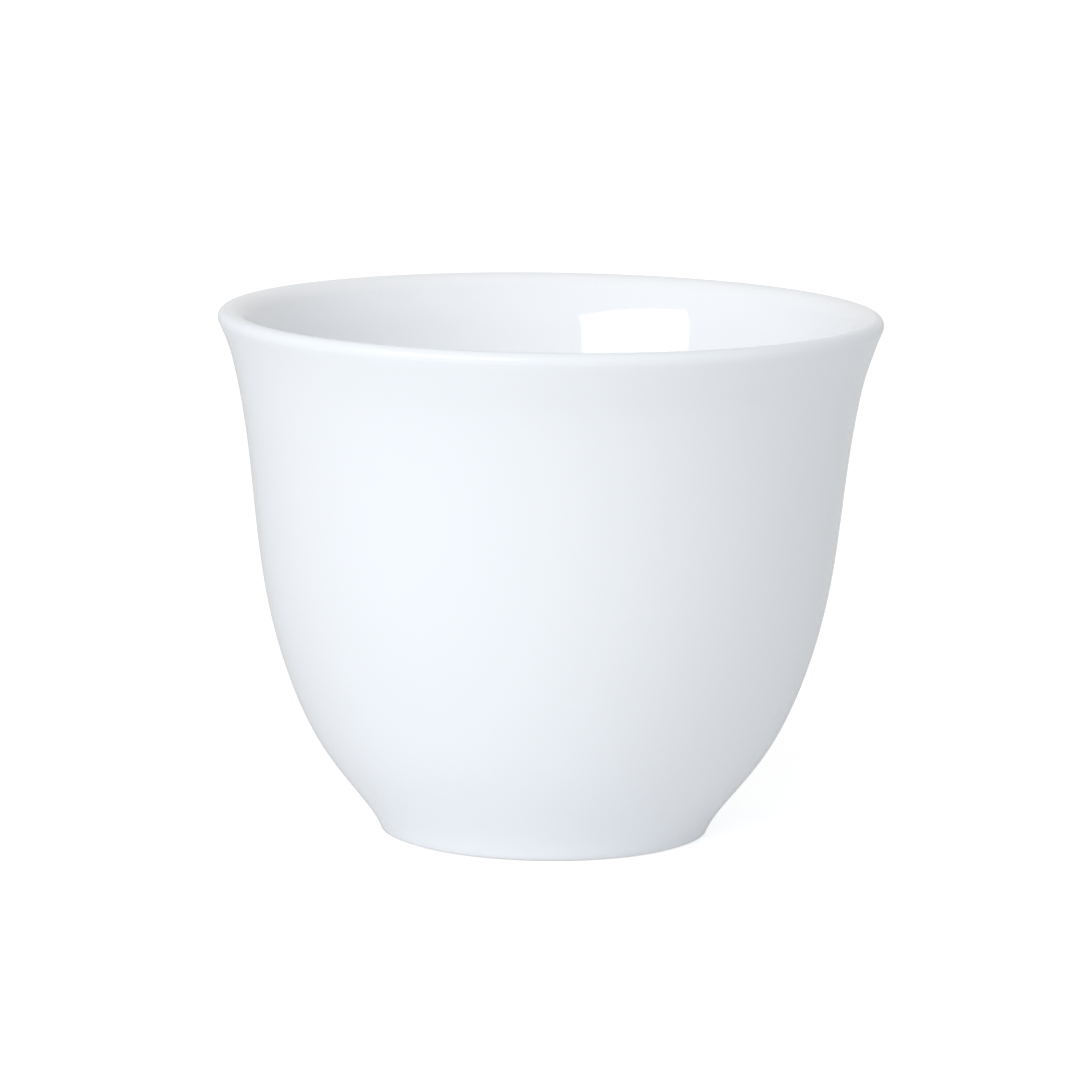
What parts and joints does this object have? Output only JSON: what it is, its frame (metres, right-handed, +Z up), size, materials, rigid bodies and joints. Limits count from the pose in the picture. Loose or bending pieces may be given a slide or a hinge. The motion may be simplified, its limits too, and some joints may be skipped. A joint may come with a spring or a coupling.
{
  "type": "arabic coffee cup",
  "caption": "Small handle-less white porcelain cup with a narrow foot, a round bowl and a flared rounded lip, glossy inside and out, for serving Arabic coffee.",
  "frame": {"origin": "centre of the foot, on the table", "axes": "+Z up along the cup's axis; the cup is round, so X and Y are any two level directions"},
  "size_m": [0.065, 0.065, 0.0516],
  "materials": {
    "biscuit_porcelain": "bare fired porcelain, matt and very fine-grained",
    "outer_glaze": "cool white porcelain under a clear glossy glaze",
    "inner_glaze": "cool white porcelain under a clear glossy glaze"
  },
  "bodies": {
    "root": {"porcelain_body": "biscuit_porcelain", "foot_ring": "biscuit_porcelain", "outer_glaze": "outer_glaze", "inner_glaze": "inner_glaze", "foot_well_glaze": "outer_glaze"}
  },
  "joints": []
}
